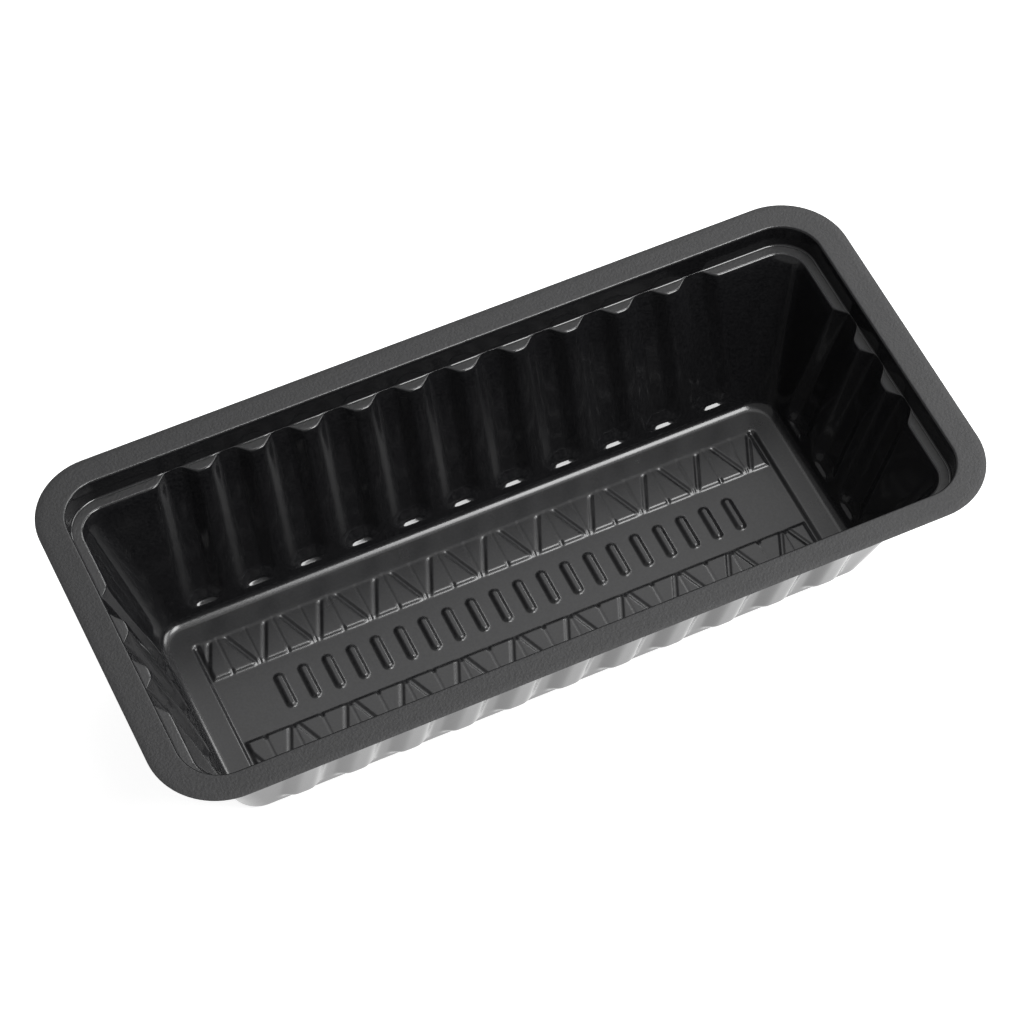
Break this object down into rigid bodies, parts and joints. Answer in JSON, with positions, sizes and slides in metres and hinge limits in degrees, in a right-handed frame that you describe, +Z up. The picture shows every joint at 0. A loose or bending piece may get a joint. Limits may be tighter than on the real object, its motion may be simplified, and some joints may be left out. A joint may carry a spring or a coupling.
{
  "type": "plastic food tray",
  "caption": "Empty black thermoformed snack tray: flat flange, stacking ledge, fluted tapering walls and a floor panel with zigzag relief.",
  "frame": {"origin": "centre of the footprint, on the plane the tray stands on", "axes": "+X along the tray's length, +Y across it, +Z up through the open mouth"},
  "size_m": [0.213, 0.1014, 0.0492],
  "materials": {
    "black_plastic": "glossy near-black walls, satin floor and a fine matte grain on the flange"
  },
  "bodies": {
    "root": {"tray": "black_plastic"}
  },
  "joints": []
}
